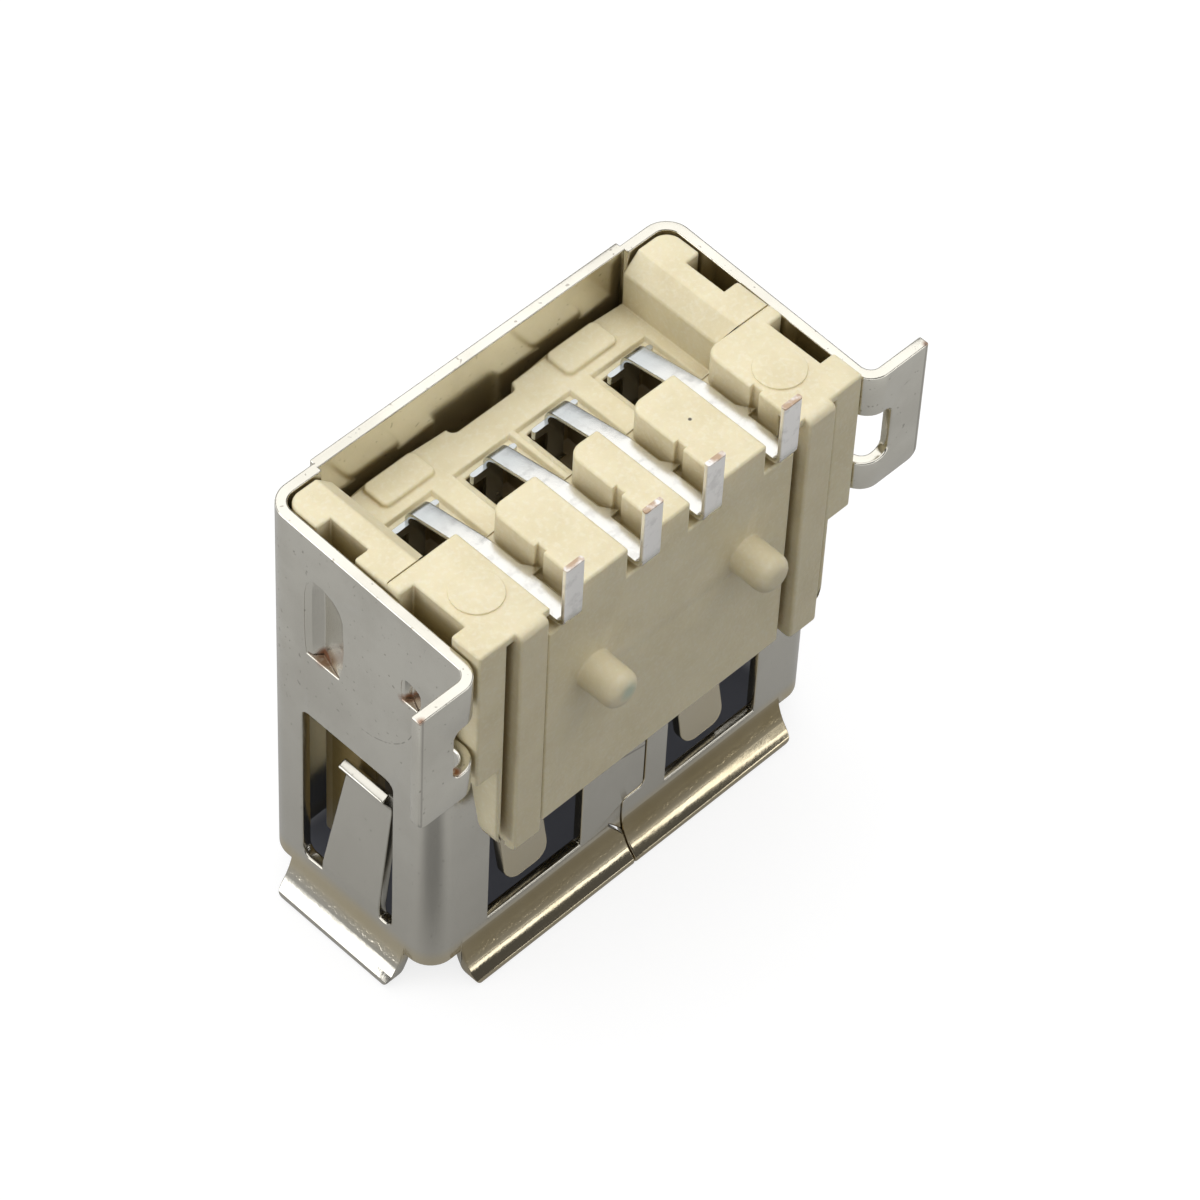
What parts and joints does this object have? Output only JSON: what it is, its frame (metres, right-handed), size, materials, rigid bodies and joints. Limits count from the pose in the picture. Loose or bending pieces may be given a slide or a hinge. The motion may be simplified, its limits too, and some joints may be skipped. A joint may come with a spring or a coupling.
{
  "type": "usb-a socket",
  "caption": "Flat rectangular plug socket with a folded nickel shell, flared mouth, board flanges and a cream housing that holds flat contacts.",
  "frame": {"origin": "middle of the plug cavity's width and height, in the plane of the mouth's lip edge", "axes": "+Z from the mouth to the rear end, -Y toward the board, +X along the socket's width"},
  "size_m": [0.0164, 0.0084, 0.0151],
  "materials": {
    "nickel": "nickel plated sheet, satin",
    "cream_plastic": "matt moulded",
    "tinned": "tin plated copper alloy"
  },
  "bodies": {
    "root": {"shell": "nickel", "housing": "cream_plastic", "contact_1": "tinned", "contact_2": "tinned", "contact_3": "tinned", "contact_4": "tinned"}
  },
  "joints": []
}
